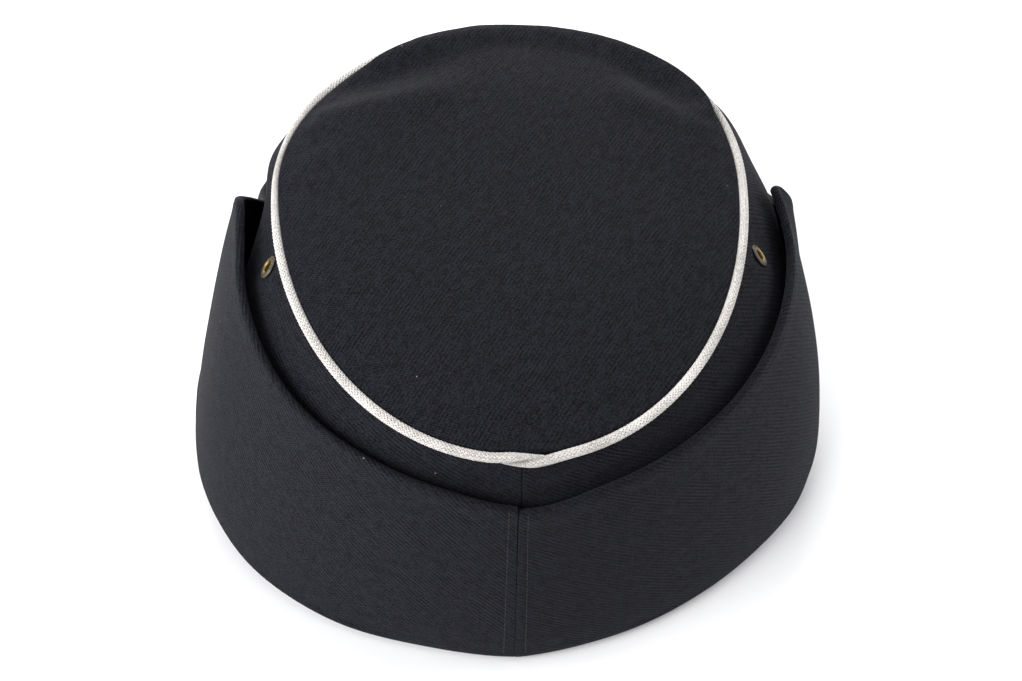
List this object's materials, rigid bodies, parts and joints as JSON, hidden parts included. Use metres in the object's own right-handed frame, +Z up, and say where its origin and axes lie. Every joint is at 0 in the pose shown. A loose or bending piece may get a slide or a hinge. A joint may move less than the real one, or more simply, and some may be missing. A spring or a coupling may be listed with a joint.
{
  "type": "military cap",
  "caption": "Soft round-topped cloth field cap with a turned-up flap, a cloth peak, a braided cord round the crown and vent eyelets, open below for the head.",
  "frame": {"origin": "centre of the bounding box seen from above, on the surface that the cap rests on", "axes": "+X to the wearer's left, -Y to the front where the peak is, +Z up"},
  "size_m": [0.1882, 0.271, 0.1088],
  "materials": {
    "twill": "fine matt twill, blue-black",
    "braid": "plaited silver-white metallic thread",
    "eyelet_metal": "brass with worn grey-brown paint",
    "button_metal": "dull grey, plain"
  },
  "bodies": {
    "root": {"crown_top": "twill", "crown_side_left": "twill", "crown_side_right": "twill", "flap_left": "twill", "flap_right": "twill", "peak": "twill", "crown_piping": "braid", "vent_eyelet_left": "eyelet_metal", "vent_eyelet_right": "eyelet_metal", "front_button_1": "button_metal", "front_button_2": "button_metal"}
  },
  "joints": []
}
